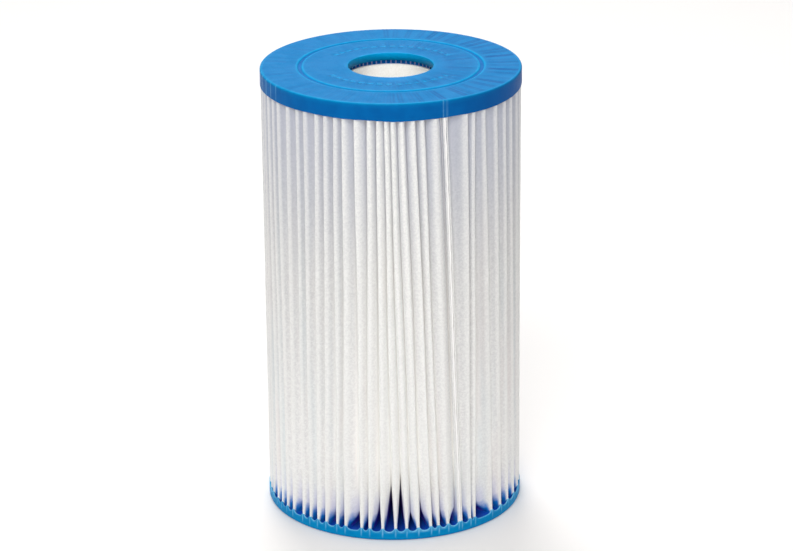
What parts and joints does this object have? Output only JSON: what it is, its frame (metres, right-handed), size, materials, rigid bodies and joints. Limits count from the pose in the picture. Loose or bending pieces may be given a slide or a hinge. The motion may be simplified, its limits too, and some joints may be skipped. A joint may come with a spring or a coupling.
{
  "type": "filter cartridge",
  "caption": "Pleated water filter cartridge: a white folded sheet round a windowed core tube, held between two blue cast end caps with a bore through the middle.",
  "frame": {"origin": "centre of the bottom face, on the axis, where the cartridge stands", "axes": "+Z along the axis, from the thinner bottom cap up to the thicker top cap; the sheet's seam faces front right, 62 degrees clockwise from +X"},
  "size_m": [0.146, 0.146, 0.257],
  "materials": {
    "blue_elastomer": "smooth, semi-gloss, slightly translucent",
    "filter_fabric": "matt bonded fibre",
    "hot_melt": "satin",
    "core_plastic": "satin"
  },
  "bodies": {
    "root": {"bottom_end_cap": "blue_elastomer", "core_tube": "core_plastic", "pleated_media": "filter_fabric", "media_seam": "hot_melt", "top_end_cap": "blue_elastomer"}
  },
  "joints": []
}
